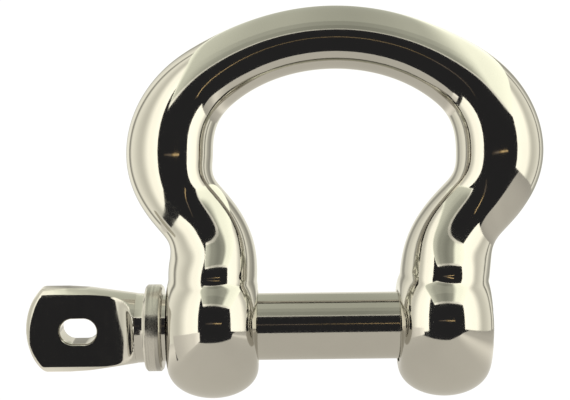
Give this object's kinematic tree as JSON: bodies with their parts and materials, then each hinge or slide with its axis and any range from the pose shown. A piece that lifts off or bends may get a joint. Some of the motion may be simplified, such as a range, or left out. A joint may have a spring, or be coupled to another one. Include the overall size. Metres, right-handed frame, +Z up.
{
  "type": "bow shackle",
  "caption": "Polished stainless steel bow shackle with a screw pin, for joining rope, chain or a sail fitting on a boat.",
  "frame": {"origin": "on the pin's axis, midway between the two ears", "axes": "X along the pin with its head at -X and its thread at +X, +Z up to the crown, Y the depth"},
  "size_m": [0.0779, 0.0212, 0.0588],
  "materials": {
    "forged_steel": "polished stainless steel",
    "turned_steel": "polished stainless steel, turned"
  },
  "bodies": {
    "bow": {"bow": "forged_steel"},
    "pin": {"screw_pin": "turned_steel"}
  },
  "joints": [
    {"name": "pin_withdraw", "type": "slide", "parent": "bow", "child": "pin", "axis": [-1, 0, 0], "range_m": [-0.0006, 0.055]}
  ]
}
